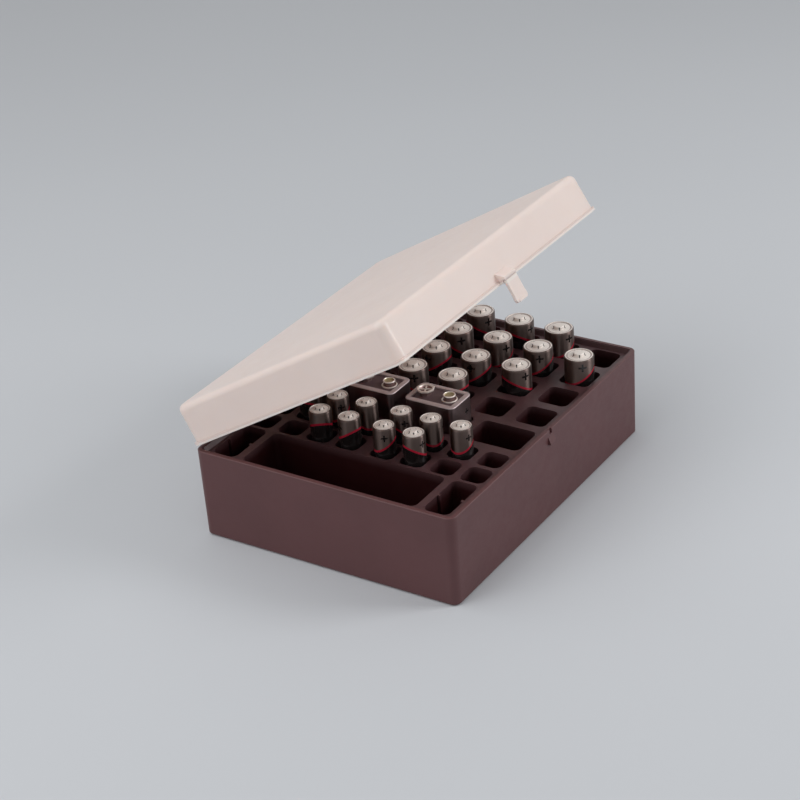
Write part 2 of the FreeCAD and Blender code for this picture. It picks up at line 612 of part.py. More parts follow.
def tongue_root(body):
    """The block on the front wall that the tongue hangs from, grooved along the flex line."""
    buried = "Layout.lid_front_y + Sizes.lid_inset + Sizes.lid_wall / 2"
    inner = "Layout.flex_y + Sizes.tongue_thickness / 2 + 2 * Sizes.flex_gap"
    outer = "Layout.flex_y - Sizes.tongue_thickness / 2"
    profile = polygon_sketch(body, "RootProfile", "YZ_Plane",
                             [(buried, "Sizes.lid_seat"), (inner, "Sizes.lid_seat"),
                              (inner, "Sizes.flex_rise"), (outer, "Sizes.flex_rise"),
                              (outer, "Sizes.root_height / 2"),
                              (buried, "Sizes.root_height")])
    pad(body, "Root", profile, "Sizes.root_width", both_ways=True)
    cross_cylinder(body, "SubtractiveCylinder", "FlexGroove",
                   "Sizes.tongue_thickness / 2 + Sizes.flex_gap", "2 * Sizes.root_width",
                   "Layout.flex_y", "Sizes.flex_rise")


def latch_tongue():
    """The flexing tongue: a neck that widens to a rounded tip, with a hook bead behind it."""
    body = new_body("latch_tongue",
                    y="Layout.axis_y + Layout.flex_y * Layout.open_cosine"
                      " + Sizes.flex_rise * Layout.open_sine",
                    z="Sizes.case_height - Layout.flex_y * Layout.open_sine"
                      " + Sizes.flex_rise * Layout.open_cosine")
    tilt_with_lid(body)
    end = "0 - Sizes.tongue_drop - Sizes.flex_rise"
    widening = f"({end}) * 0.68"
    wide = f"({end}) * 0.84"
    half_neck = "Sizes.tongue_neck / 2"
    half_tip = "Sizes.tongue_tip / 2"
    face = polygon_sketch(body, "TongueFace", "XZ_Plane",
                          [(f"0 - {half_neck}", "0"), (f"0 - {half_neck}", widening),
                           (f"0 - {half_tip}", wide), (f"0 - {half_tip}", end),
                           (half_tip, end), (half_tip, wide), (half_neck, widening),
                           (half_neck, "0")])
    blade = pad(body, "Blade", face, "Sizes.tongue_thickness", both_ways=True)
    lowest = sizes.tongue_drop + sizes.flex_rise

    def tip_corner(edge):
        box = edge.BoundBox
        return box.YLength > 0.1 and box.XLength < 1e-4 and abs(box.ZMin + lowest) < 1e-4

    dress(body, "Fillet", "TipRound", blade, tip_corner, "Sizes.tip_round")
    cross_cylinder(body, "AdditiveCylinder", "FlexBarrel", "Sizes.tongue_thickness / 2",
                   "Sizes.tongue_neck", "0", "0")
    tongue_hook(body, end)
    return body


def tongue_hook(body, end):
    """The bead that goes under the lug, and the finger lip on the other side."""
    back = "Sizes.tongue_thickness / 2"
    top = "0 - Sizes.lug_bottom - Sizes.hook_gap - Sizes.flex_rise"
    bead = polygon_sketch(body, "HookProfile", "YZ_Plane",
                          [("0", top), (back, top),
                           (f"{back} + Sizes.hook_depth", f"{top} - Sizes.hook_depth / 3"),
                           (f"{back} + Sizes.hook_depth", f"{top} - Sizes.hook_depth"),
                           (back, f"{top} - 2.5 * Sizes.hook_depth"),
                           ("0", f"{top} - 2.5 * Sizes.hook_depth")])
    pad(body, "Hook", bead, "Sizes.hook_width", both_ways=True)
    lip = polygon_sketch(body, "LipProfile", "YZ_Plane",
                         [("0", f"{end} + 3 * Sizes.tongue_lip"),
                          (f"0 - {back}", f"{end} + 3 * Sizes.tongue_lip"),
                          (f"0 - {back} - Sizes.tongue_lip", f"{end} + Sizes.tongue_lip"),
                          (f"0 - {back} - Sizes.tongue_lip", end), ("0", end)])
    pad(body, "FingerLip", lip, "Sizes.tongue_tip - 2 * Sizes.tip_round", both_ways=True)


def hinge_pin(side, label):
    """A plain pin through two ears and the knuckle between them."""
    length = "Sizes.knuckle_width + 2 * Sizes.knuckle_gap + 2 * Sizes.ear_thickness"
    body = new_body(label, f"{side} * Sizes.hinge_spacing / 2", "Layout.axis_y",
                    "Sizes.case_height")
    cross_cylinder(body, "AdditiveCylinder", "Pin", "Sizes.pin_radius", length, "0", "0")
    return body


# ---------------------------------------------------------------- cells


def round_cell(label, kind, x, y):
    """An AA or AAA cell, standing on the floor of its pocket with its nub up."""
    body = new_body(label, x, y, f"Layout.deck_z - Layout.{kind}_deep")
    primitive(body, "AdditiveCylinder", "Nub", "XY_Plane", ("0", "0", f"Sizes.{kind}_length / 2"),
              Radius=f"Sizes.{kind}_nub / 2", Height=f"Sizes.{kind}_length / 2")
    primitive(body, "AdditiveCylinder", "Can", "XY_Plane", ("0", "0", "0"),
              Radius=f"Sizes.{kind}_diameter / 2",
              Height=f"Sizes.{kind}_length - Sizes.{kind}_nub_height")
    return body


def block_cell(label, y):
    """A 9 V block with its round and eight-sided studs."""
    body = new_body(label, "Layout.nine_x", y, "Layout.deck_z - Layout.nine_deep")
    block = primitive(body, "AdditiveBox", "Block", "XY_Plane",
                      ("0 - Sizes.nine_depth / 2", "0 - Sizes.nine_width / 2", "0"),
                      Length="Sizes.nine_depth", Width="Sizes.nine_width",
                      Height="Sizes.nine_height")

    def upright(edge):
        return edge.BoundBox.ZLength > 1

    dress(body, "Fillet", "BlockRound", block, upright, "Sizes.block_round")
    primitive(body, "AdditiveCylinder", "RoundStud", "XY_Plane",
              ("0", "0 - Sizes.stud_spacing / 2", "Sizes.nine_height / 2"),
              Radius="Sizes.stud_radius", Height="Sizes.nine_height / 2 + Sizes.stud_height")
    socket = primitive(body, "AdditivePrism", "SocketStud", "XY_Plane",
                       ("0", "Sizes.stud_spacing / 2", "Sizes.nine_height / 2"),
                       Circumradius="Sizes.socket_radius",
                       Height="Sizes.nine_height / 2 + Sizes.socket_height")
    socket.Polygon = 8
    return body


def aa_cells():
    """Every AA pocket is taken but four at the front: rows count from the bin, columns
    from the latch."""
    free = {(0, 0), (0, 1), (1, 0), (3, 0)}
    places = [(row, column) for row in range(int(sizes.aa_rows))
              for column in range(int(sizes.aa_columns)) if (row, column) not in free]
    return [round_cell(f"aa_cell_{number:02d}", "aa", f"Layout.aa_first_x + {row} * Sizes.aa_pitch",
                       f"{column} * Layout.aa_step_y - Layout.aa_last_y")
            for number, (row, column) in enumerate(places, start=1)]


def aaa_place(column):
    """Y of an AAA pocket counted from the latch: the two halves mirror each other."""
    half = int(sizes.aaa_half)
    if column < half:
        return f"{column} * Sizes.aaa_pitch - Layout.aaa_last_y"
    return f"Layout.aaa_last_y - {2 * half - 1 - column} * Sizes.aaa_pitch"


def aaa_cells():
    """The row beside the bin holds four cells, the other row six."""
    taken = {"aaa_left_x": range(2, 6), "aaa_right_x": range(1, 7)}
    places = [(row, column) for row, columns in taken.items() for column in columns]
    return [round_cell(f"aaa_cell_{number:02d}", "aaa", f"Layout.{row}", aaa_place(column))
            for number, (row, column) in enumerate(places, start=1)]


def block_cells():
    """All 9 V pockets are taken but the one at the front."""
    return [block_cell(f"nine_volt_cell_{column}",
                       f"{column} * Layout.nine_step_y - Layout.nine_last_y")
            for column in range(1, int(sizes.nine_count))]


# ---------------------------------------------------------------- build, check, write


def check_document():
    """Stop on any failed feature, and on any cut that takes nothing away."""
    for item in doc.Objects:
        if "Invalid" in item.State or "Error" in item.State:
            raise RuntimeError(f"{item.Name} failed: {item.State}")
        cuts = item.TypeId == "PartDesign::Pocket" or "Subtractive" in item.TypeId
        if cuts and item.Shape.Volume > item.BaseFeature.Shape.Volume - 1e-3:
            raise RuntimeError(f"{item.Name} cuts nothing")


bodies = [case_shell(), cell_tray(), lid(), latch_tongue(),
          hinge_pin(-1, "hinge_pin_left"), hinge_pin(1, "hinge_pin_right")]
bodies += aa_cells() + aaa_cells() + block_cells()
doc.recompute()
check_document()
for body in bodies:
    if body.Shape.isNull() or not body.Shape.isValid():
        raise RuntimeError(f"{body.Label} has no valid shape")
for body in bodies:
    body.Shape.exportStep(f"parts/{body.Label}.step")
    box = body.Shape.BoundBox
    print(f"{body.Label}: {len(body.Shape.Solids)} solid, {body.Shape.Volume / 1000:.2f} cm3, "
          f"x {box.XMin:.1f} to {box.XMax:.1f}, y {box.YMin:.1f} to {box.YMax:.1f}, "
          f"z {box.ZMin:.1f} to {box.ZMax:.1f}")
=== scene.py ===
# Looks of the hinged battery box: moulded case and tray, milky lid, and the cells in detail.
# Everything is in metres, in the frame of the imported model: the latch faces -Y, the hinges
# are at +Y, and the case stands on z = 0. Sizes of small parts are given in millimetres and
# turned into metres by MM.

import json
import math

import bmesh
import bpy
from mathutils import Matrix, Vector


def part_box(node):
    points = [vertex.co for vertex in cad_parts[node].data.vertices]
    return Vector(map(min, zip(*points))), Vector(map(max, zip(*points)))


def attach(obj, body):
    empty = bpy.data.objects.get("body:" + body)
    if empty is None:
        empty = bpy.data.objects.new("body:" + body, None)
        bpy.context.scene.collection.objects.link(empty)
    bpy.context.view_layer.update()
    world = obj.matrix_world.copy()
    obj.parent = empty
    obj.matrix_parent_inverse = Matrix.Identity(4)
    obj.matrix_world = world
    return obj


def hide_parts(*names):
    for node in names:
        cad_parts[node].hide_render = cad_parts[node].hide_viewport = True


MM = 0.001
FULL_TURN = 2 * math.pi

# Degrees from shut at which the lid rests.
LID_OPEN = 30.5

# Degrees from +X to the side from which the camera looks. The cells' turns are counted from it.
FACING = 214.6

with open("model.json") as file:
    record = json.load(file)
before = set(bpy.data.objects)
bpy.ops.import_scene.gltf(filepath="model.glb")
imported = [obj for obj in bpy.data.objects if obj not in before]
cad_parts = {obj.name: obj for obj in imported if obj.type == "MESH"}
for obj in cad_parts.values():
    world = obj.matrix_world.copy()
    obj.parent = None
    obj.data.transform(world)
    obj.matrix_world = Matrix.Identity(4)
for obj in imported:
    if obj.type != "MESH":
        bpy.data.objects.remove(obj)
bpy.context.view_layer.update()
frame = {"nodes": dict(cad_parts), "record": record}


# ---------------------------------------------------------------- shader helpers


class Graph:
    """A node tree with short ways of adding a node, a sum, a mix or a noise."""

    def __init__(self, tree):
        self.tree = tree

    def node(self, kind, inputs=None, **settings):
        made = self.tree.nodes.new(f"ShaderNode{kind}")
        for name, value in settings.items():
            setattr(made, name, value)
        for name, value in (inputs or {}).items():
            self.feed(made.inputs[name], value)
        return made

    def feed(self, socket, value):
        """Wire a socket to another, or set it to a constant."""
        if isinstance(value, bpy.types.NodeSocket):
            self.tree.links.new(value, socket)
        elif isinstance(value, tuple) and socket.type == "RGBA" and len(value) == 3:
            socket.default_value = (*value, 1)
        else:
            socket.default_value = value

    def math(self, operation, *values, clamp=False):
        made = self.node("Math", dict(enumerate(values)), operation=operation, use_clamp=clamp)
        return made.outputs[0]

    def mix(self, factor, low, high):
        """A colour between two, or a number between two."""
        is_colour = any(isinstance(v, tuple) for v in (low, high)) or any(
            isinstance(v, bpy.types.NodeSocket) and v.type == "RGBA" for v in (low, high))
        made = self.node("Mix", data_type="RGBA" if is_colour else "FLOAT")
        kind = "Color" if is_colour else "Float"
        sockets = {s.identifier: s for s in made.inputs}
        self.feed(sockets["Factor_Float"], factor)
        self.feed(sockets[f"A_{kind}"], low)
        self.feed(sockets[f"B_{kind}"], high)
        return next(s for s in made.outputs if s.identifier == f"Result_{kind}")

    def span(self, value, low, high, to_low=0.0, to_high=1.0):
        """Maps a number from one range to another, held at the ends."""
        made = self.node("MapRange", {"Value": value, "From Min": low, "From Max": high,
                                      "To Min": to_low, "To Max": to_high})
        return made.outputs["Result"]

    def noise(self, place, scale, detail=2.0, roughness=0.5):
        made = self.node("TexNoise", {"Vector": place, "Scale": scale, "Detail": detail,
                                      "Roughness": roughness})
        return made.outputs["Fac"]


def new_group(name, inputs, outputs):
    """A shader node group. inputs maps a name to a default: a number, a colour, or a word for a
    vector, which gets no default. outputs maps a name to its kind."""
    group = bpy.data.node_groups.new(name, "ShaderNodeTree")
    kinds = {float: "NodeSocketFloat", tuple: "NodeSocketColor", str: "NodeSocketVector"}
    for label, value in inputs.items():
        socket = group.interface.new_socket(label, in_out="INPUT", socket_type=kinds[type(value)])
        if isinstance(value, tuple):
            socket.default_value = (*value, 1)
        elif isinstance(value, float):
            socket.default_value = value
    for label, kind in outputs.items():
        group.interface.new_socket(label, in_out="OUTPUT", socket_type=f"NodeSocket{kind}")
    graph = Graph(group)
    given = group.nodes.new("NodeGroupInput").outputs
    put = group.nodes.new("NodeGroupOutput").inputs
    return group, graph, given, put


def use_group(graph, group, **inputs):
    """Place a group, wire its inputs and give its outputs. An underscore in an input's name
    stands for a space."""
    made = graph.node("Group")
    made.node_tree = group
    for label, value in inputs.items():
        graph.feed(made.inputs[label.replace("_", " ")], value)
    return made.outputs


def new_material(name):
    """A material with its graph and its Principled shader, wired to the output."""
    material = bpy.data.materials.new(name)
    material.use_nodes = True
    tree = material.node_tree
    tree.nodes.clear()
    graph = Graph(tree)
    shader = graph.node("BsdfPrincipled")
    graph.node("OutputMaterial", {"Surface": shader.outputs[0]})
    return material, graph, shader


def set_shader(graph, shader, **inputs):
    """Wire a shader's inputs. An underscore in an input's name stands for a space."""
    for label, value in inputs.items():
        graph.feed(shader.inputs[label.replace("_", " ")], value)


def object_place(graph):
    return graph.node("TexCoord").outputs["Object"]


def bump(graph, height, distance):
    """A normal from a height, where a height of 1 stands for a distance in metres."""
    return graph.node("Bump", {"Height": height, "Distance": distance,
                               "Strength": 1.0}).outputs["Normal"]


# ---------------------------------------------------------------- shared effects


def moulded_skin_group():
    """Skin of a moulded plastic: fine spark grain, faint flow clouds, uneven gloss."""
    group, graph, given, put = new_group(
        "moulded skin",
        {"Place": "place", "Colour": (0.1, 0.1, 0.1), "Gloss": 0.5, "Cloud": 0.1,
         "Grain Size": 1400.0},
        {"Colour": "Color", "Roughness": "Float", "Height": "Float"})
    place = given["Place"]
    clouds = graph.noise(place, scale=38.0, detail=3.0)
    grain = graph.noise(place, scale=given["Grain Size"], detail=2.0, roughness=0.6)
    scuff = graph.noise(place, scale=210.0, detail=4.0, roughness=0.7)
    darker = graph.math("MULTIPLY", graph.span(clouds, 0.3, 0.7), given["Cloud"])
    shade = graph.math("SUBTRACT", 1.0, darker)
    tinted = graph.node("VectorMath", {0: given["Colour"]}, operation="SCALE")
    graph.feed(tinted.inputs["Scale"], shade)
    graph.feed(put["Colour"], tinted.outputs[0])
    uneven = graph.span(scuff, 0.35, 0.75, to_low=-0.05, to_high=0.09)
    graph.feed(put["Roughness"], graph.math("ADD", given["Gloss"], uneven))
    graph.feed(put["Height"], grain)
    return group


def drawn_metal_group():
    """Drawn or stamped metal: fine unevenness and a little tarnish."""
    group, graph, given, put = new_group(
        "drawn metal",
        {"Place": "place", "Colour": (0.6, 0.6, 0.6), "Tarnish": (0.4, 0.35, 0.3),
         "Gloss": 0.25},
        {"Colour": "Color", "Roughness": "Float", "Height": "Float"})
    streaks = graph.noise(given["Place"], scale=900.0, detail=2.0)
    stains = graph.noise(given["Place"], scale=130.0, detail=4.0, roughness=0.65)
    stains = graph.span(stains, 0.5, 0.8)
    graph.feed(put["Colour"], graph.mix(graph.math("MULTIPLY", stains, 0.5),
                                        given["Colour"], given["Tarnish"]))
    duller = graph.span(stains, 0.0, 1.0, to_low=0.0, to_high=0.12)
    graph.feed(put["Roughness"], graph.math("ADD", given["Gloss"], duller))
    graph.feed(put["Height"], streaks)
    return group


def sleeve_print_group():
    """Masks of a cell's printed sleeve, from its wrap (turns round, height in metres): the
    metallic band above a slanted line, the line itself, and a plus sign on either side of
    the line's lowest point."""
    group, graph, given, put = new_group(
        "sleeve print",
        {"Wrap": "wrap", "Line Height": 0.04, "Slant": 0.003, "Line Width": 0.001,
         "Girth": 0.045, "Plus Turn": 0.09, "Plus Height": 0.045, "Plus Size": 0.004,
         "Plus Stroke": 0.001},
        {"Band": "Float", "Line": "Float", "Plus": "Float"})
    parts = graph.node("SeparateXYZ", {"Vector": given["Wrap"]}).outputs
    turn, height = parts["X"], parts["Y"]
    swing = graph.math("COSINE", graph.math("MULTIPLY", turn, FULL_TURN))
    level = graph.math("SUBTRACT", given["Line Height"],
                       graph.math("MULTIPLY", swing, given["Slant"]))
    above = graph.math("SUBTRACT", height, level)
    graph.feed(put["Band"], graph.math("GREATER_THAN", above, 0.0))
    graph.feed(put["Line"], graph.math("LESS_THAN", graph.math("ABSOLUTE", above),
                                       graph.math("MULTIPLY", given["Line Width"], 0.5)))
    aside = graph.math("SUBTRACT", graph.math("ABSOLUTE", turn), given["Plus Turn"])
    across = graph.math("ABSOLUTE", graph.math("MULTIPLY", aside, given["Girth"]))
    up = graph.math("ABSOLUTE", graph.math("SUBTRACT", height, given["Plus Height"]))
    half = graph.math("MULTIPLY", given["Plus Size"], 0.5)
    thin = graph.math("MULTIPLY", given["Plus Stroke"], 0.5)
    bars = [graph.math("MULTIPLY", graph.math("LESS_THAN", along, half),
                       graph.math("LESS_THAN", over, thin))
            for along, over in ((across, up), (up, across))]
    graph.feed(put["Plus"], graph.math("MAXIMUM", *bars))
    return group


MOULDED_SKIN = moulded_skin_group()
DRAWN_METAL = drawn_metal_group()
SLEEVE_PRINT = sleeve_print_group()


# ---------------------------------------------------------------- materials


def moulded_plastic(name, colour, gloss, painted_pocket_shade=None):
    """Fine-grained moulded plastic. The last argument, if given, is (colour, z where it begins,
    z where it is full): painted shade, the colour darkening down inside a tray's pockets."""
    material, graph, shader = new_material(name)
    place = object_place(graph)
    if painted_pocket_shade:
        # Painted shade: the colour darkens with depth down the pockets.
        pocket_shade_colour, begins, full = painted_pocket_shade
        height = graph.node("SeparateXYZ", {"Vector": place}).outputs["Z"]
        colour = graph.mix(graph.span(height, full, begins), pocket_shade_colour, colour)
    skin = use_group(graph, MOULDED_SKIN, Place=place, Colour=colour, Gloss=gloss, Cloud=0.12,
                     Grain_Size=1400.0)
    set_shader(graph, shader, Base_Color=skin["Colour"], Roughness=skin["Roughness"],
               Normal=bump(graph, skin["Height"], GRAIN_DEPTH), Specular_IOR_Level=0.42)
    return material


def height_over_rim(graph, place):
    """Height above the plane of the lid's rim, which passes through the hinge and stands
    half open at rest."""
    hinge = next(joint for joint in frame["record"]["behaviour"]["joints"]
                 if joint["name"] == "lid_hinge")["pos_m"]
    rise = math.radians(LID_OPEN)
    upward = (0.0, math.sin(rise), math.cos(rise))
    along = graph.node("VectorMath", {0: place, 1: upward}, operation="DOT_PRODUCT")
    return graph.math("SUBTRACT", along.outputs["Value"],
                      hinge[1] * upward[1] + hinge[2] * upward[2])


def stripe(graph, height, starts, full, fades, ends):
    """A soft-edged stripe between heights in mm: 1 in its middle and 0 outside."""
    return graph.math("MULTIPLY", graph.span(height, starts * MM, full * MM),
                      graph.span(height, ends * MM, fades * MM))


def milky_plastic(name):
    """Milky, softly translucent polypropylene: light passes, shapes behind it blur away. The
    bead round the rim is lighter, a painted highlight, with a darker line of painted shade
    above it."""
    material, graph, shader = new_material(name)
    place = object_place(graph)
    over_rim = height_over_rim(graph, place)
    # Painted highlight on the rim bead, and painted shade in the line just above it.
    bead = stripe(graph, over_rim, starts=-0.5, full=-0.1, fades=0.8, ends=1.1)
    shade = stripe(graph, over_rim, starts=1.0, full=1.4, fades=1.6, ends=2.3)
    colour = graph.mix(bead, LID_COLOUR, BEAD_HIGHLIGHT_COLOUR)
    colour = graph.mix(shade, colour, SHADE_COLOUR)
    skin = use_group(graph, MOULDED_SKIN, Place=place, Colour=colour, Gloss=0.38, Cloud=0.035,
                     Grain_Size=900.0)
    set_shader(graph, shader, Base_Color=skin["Colour"], Roughness=skin["Roughness"],
               Normal=bump(graph, skin["Height"], LID_GRAIN_DEPTH), Subsurface_Weight=0.5,
               Subsurface_Radius=(0.0034, 0.0028, 0.0024), Subsurface_Scale=1.0,
               Transmission_Weight=0.12, IOR=1.49)
    return material


def bare_metal(name, colour, tarnish, gloss=0.25, metallic=1.0):
    """Drawn or stamped metal, which shines more softly where `metallic` is under 1."""
    material, graph, shader = new_material(name)
    metal = use_group(graph, DRAWN_METAL, Place=object_place(graph), Colour=colour,
                      Tarnish=tarnish, Gloss=gloss)
    set_shader(graph, shader, Base_Color=metal["Colour"], Roughness=metal["Roughness"],
               Metallic=metallic, Normal=bump(graph, metal["Height"], METAL_DEPTH))
    return material


def set_sleeve(graph, shader, printed, metal, ink_gloss, depth, **inputs):
    """Wire a printed sleeve's shader: black ink and a red line over bare metal."""
    colour = graph.mix(printed["Band"], INK_BLACK, metal["Colour"])
    colour = graph.mix(printed["Plus"], colour, INK_BLACK)
    colour = graph.mix(printed["Line"], colour, LINE_RED)
    ink = graph.math("MAXIMUM", printed["Plus"], printed["Line"])
    metallic = graph.math("SUBTRACT", printed["Band"], ink, clamp=True)
    set_shader(graph, shader, Base_Color=colour, Metallic=metallic,
               Roughness=graph.mix(metallic, ink_gloss, metal["Roughness"]),
               Normal=bump(graph, metal["Height"], depth), **inputs)


def printed_sleeve(name, length, diameter, line_depth, slant, plus_size, plus_depth):
    """A round cell's sleeve: glossy black, with a drawn-metal band at the top, a slanted red
    line and two plus signs. Sizes are in mm, and depths are counted from the cell's top."""
    material, graph, shader = new_material(name)
    wrap = graph.node("UVMap", uv_map="wrap").outputs[0]
    printed = use_group(graph, SLEEVE_PRINT, Wrap=wrap, Line_Height=(length - line_depth) * MM,
                        Slant=slant * MM, Line_Width=LINE_WIDTH,
                        Girth=math.pi * diameter * MM, Plus_Turn=PLUS_TURN,
                        Plus_Height=(length - plus_depth) * MM, Plus_Size=plus_size * MM,
                        Plus_Stroke=0.24 * plus_size * MM)
    metal = use_group(graph, DRAWN_METAL, Place=object_place(graph), Colour=BAND_COLOUR,
                      Tarnish=BAND_TARNISH, Gloss=0.38)
    # Drawn round the can, so highlights are stretched upright.
    set_sleeve(graph, shader, printed, metal, ink_gloss=0.14, depth=SLEEVE_DEPTH,
               Anisotropic=0.96, Anisotropic_Rotation=0.25)
    return material


# Bump distances, in metres: moulded grain, the lid's shallower grain, bare metal and sleeves.
GRAIN_DEPTH = 0.00003
LID_GRAIN_DEPTH = 0.000012
METAL_DEPTH = 0.000004
SLEEVE_DEPTH = 0.000001
BLOCK_SLEEVE_DEPTH = 0.0000004

LID_COLOUR = (0.95, 0.775, 0.718)
# Painted highlight on the rim bead, and painted shade in the line above it.
BEAD_HIGHLIGHT_COLOUR = (0.98, 0.86, 0.79)
SHADE_COLOUR = (0.77, 0.62, 0.575)

INK_BLACK = (0.012, 0.009, 0.009)
LINE_RED = (0.46, 0.018, 0.042)
LINE_WIDTH = 1.1 * MM
BAND_COLOUR, BAND_TARNISH = (0.15, 0.112, 0.102), (0.12, 0.088, 0.08)
BLOCK_BAND_COLOUR, BLOCK_BAND_TARNISH = (0.24, 0.18, 0.18), (0.2, 0.15, 0.15)

# The plus signs' place round a sleeve, in turns from the lowest point of the red line.
PLUS_TURN = 75 / 360

CASE_PLASTIC = moulded_plastic("case plastic", (0.108, 0.0415, 0.0435), 0.44)
# The tray's pockets get painted shade: its colour darkens below the deck.
TRAY_PLASTIC = moulded_plastic("tray plastic", (0.076, 0.0345, 0.038), 0.4,
                               painted_pocket_shade=((0.025, 0.0042, 0.0048), 0.0424, 0.0385))
LID_PLASTIC = milky_plastic("milky plastic")
PIN_STEEL = bare_metal("pin steel", (0.62, 0.61, 0.6), (0.42, 0.39, 0.36))
CAP_STEEL = bare_metal("plated cap steel", (0.97, 0.9, 0.84), (0.86, 0.77, 0.7), 0.42, 0.2)
STUD_BRASS = bare_metal("brassy contact", (0.5, 0.43, 0.27), (0.36, 0.3, 0.19), 0.42, 0.6)
STUD_STEEL = bare_metal("bright stud steel", (0.92, 0.84, 0.78), (0.76, 0.66, 0.6), 0.34, 0.45)
# Painted shade: the studs' necks under their rims, and the crown's inside, get a dark metal.
SHADED_NECK_STEEL = bare_metal("shaded stud neck", (0.3, 0.2, 0.19), (0.2, 0.13, 0.12), 0.4, 0.7)
FRAME_STEEL = bare_metal("block frame steel", (0.62, 0.52, 0.52), (0.52, 0.43, 0.43), 0.42, 0.5)
SEAL_PLASTIC = moulded_plastic("seal ring plastic", (0.62, 0.55, 0.52), 0.45)
PLATE_BOARD = moulded_plastic("block top plate", (0.13, 0.082, 0.088), 0.42)
# Painted shade: the dark inside the cells' vent slots.
VENT_SHADE = moulded_plastic("vent shadow", (0.03, 0.022, 0.02), 0.7)
BLOCK_BASE = moulded_plastic("block base plastic", (0.02, 0.018, 0.018), 0.5)


# ---------------------------------------------------------------- mesh helpers


def finish_piece(name, mesh_data, body, replaces):
    """Put a piece in the scene, on its body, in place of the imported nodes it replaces."""
    piece = bpy.data.objects.new(name, mesh_data)
    bpy.context.scene.collection.objects.link(piece)
    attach(piece, body)
    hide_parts(*replaces)


SHARP_ANGLE = math.radians(33)


def mark_sharp(shape):
    """Smooth faces, with an edge kept sharp where the surface turns more than SHARP_ANGLE."""
    for face in shape.faces:
        face.smooth = True
    for edge in shape.edges:
        turned = len(edge.link_faces) == 2 and edge.calc_face_angle(0.0) > SHARP_ANGLE
        edge.smooth = not turned


def lathe(profile, materials, steps=64):
    """A turned shape: profile is (radius, height) in mm from the bottom centre to the top
    centre, and materials gives the material index of the stretch that starts at each point."""
    shape = bmesh.new()
    points = [shape.verts.new((radius * MM, 0, height * MM)) for radius, height in profile]
    edges = [shape.edges.new(pair) for pair in zip(points, points[1:])]
    bmesh.ops.spin(shape, geom=points + edges, cent=(0, 0, 0), axis=(0, 0, 1), dvec=(0, 0, 0),
                   angle=FULL_TURN, steps=steps, use_merge=True, use_duplicate=False)
    bmesh.ops.remove_doubles(shape, verts=shape.verts, dist=1e-6)
    bmesh.ops.dissolve_degenerate(shape, edges=shape.edges, dist=1e-7)
    bmesh.ops.recalc_face_normals(shape, faces=shape.faces)
    for face in shape.faces:
        face.material_index = stretch_of(face, profile, materials)
    return shape


def stretch_of(face, profile, materials):
    """The material of the profile stretch that a turned face was made from: the nearest."""
    reach = [(vert.co.xy.length / MM, vert.co.z / MM) for vert in face.verts]
    middle = Vector((sum(r for r, _ in reach), sum(z for _, z in reach))) / len(reach)
    gaps = []
    for index, (start, end) in enumerate(zip(profile, profile[1:])):
        centre = (Vector(start) + Vector(end)) / 2
        gaps.append(((centre - middle).length, materials[index]))
    return min(gaps)[1]


def wrap_uv(shape, sleeve_index):
    """UV map "wrap": turns round and height on the sleeve, the plan on everything else."""
    layer = shape.loops.layers.uv.new("wrap")
    for face in shape.faces:
        centre = face.calc_center_median()
        middle = math.atan2(centre.y, centre.x)
        for loop in face.loops:
            place = loop.vert.co
            if face.material_index != sleeve_index:
                loop[layer].uv = (place.x / MM, place.y / MM)
                continue
            angle = math.atan2(place.y, place.x) - middle
            angle = (angle + math.pi) % FULL_TURN - math.pi + middle
            loop[layer].uv = (angle / FULL_TURN, place.z)


def to_mesh(name, shape, materials, place):
    """Finish a shape: sharp edges, materials, and its place written into the mesh."""
    mark_sharp(shape)
    shape.transform(place)
    mesh_data = bpy.data.meshes.new(name)
    shape.to_mesh(mesh_data)
    shape.free()
    for material in materials:
        mesh_data.materials.append(material)
    return mesh_data


def add_box(shape, size, middle=(0, 0, 0)):
    """A box of a size in mm, round a middle in mm."""
    made = bmesh.ops.create_cube(shape, size=1.0)["verts"]
    bmesh.ops.scale(shape, verts=made, vec=Vector(size) * MM)
    bmesh.ops.translate(shape, verts=made, vec=Vector(middle) * MM)


def add_shape(target, part, place):
    """Add a part to another shape, at a place, and let the part go."""
    holder = bpy.data.meshes.new("holder")
    part.transform(place)
    part.to_mesh(holder)
    part.free()
    target.from_mesh(holder)
    bpy.data.meshes.remove(holder)


# ---------------------------------------------------------------- round cells

SLEEVE, CAP, SEAL, VENT = range(4)


def cell_profile(radius, length, nub_radius, nub_height):
    """Outline of a round cell from the bottom up: (radius, height) in mm, and the material of
    the stretch that starts there."""
    shoulder = length - nub_height
    # Radii of the rolled edge, of the cap inside the seal ring, and of the foot.
    rolled = radius * 0.87
    crown = radius * 0.75
    foot = radius * 0.8
    return [
        ((0, 0.0), CAP), ((foot, 0.0), CAP), ((foot + 0.3, 0.3), SEAL),
        ((radius - 0.55, 0.3), SLEEVE), ((radius - 0.35, 0.12), SLEEVE),
        ((radius - 0.08, 0.3), SLEEVE), ((radius, 0.75), SLEEVE),
        ((radius, shoulder - 1.0), SLEEVE), ((radius - 0.05, shoulder - 0.55), SLEEVE),
        ((radius - 0.22, shoulder - 0.2), SLEEVE), ((radius - 0.5, shoulder - 0.04), CAP),
        ((rolled, shoulder), CAP), ((rolled - 0.12, shoulder - 0.3), SEAL),
        ((crown + 0.12, shoulder - 0.38), SEAL), ((crown, shoulder - 0.2), CAP),
        ((crown - 0.5, shoulder - 0.08), CAP), ((nub_radius + 0.3, shoulder - 0.02), CAP),
        ((nub_radius, shoulder + 0.12), CAP), ((nub_radius - 0.08, length - 0.3), CAP),
        ((nub_radius - 0.35, length - 0.05), CAP), ((nub_radius * 0.5, length), CAP),
        ((0, length), CAP),
    ]


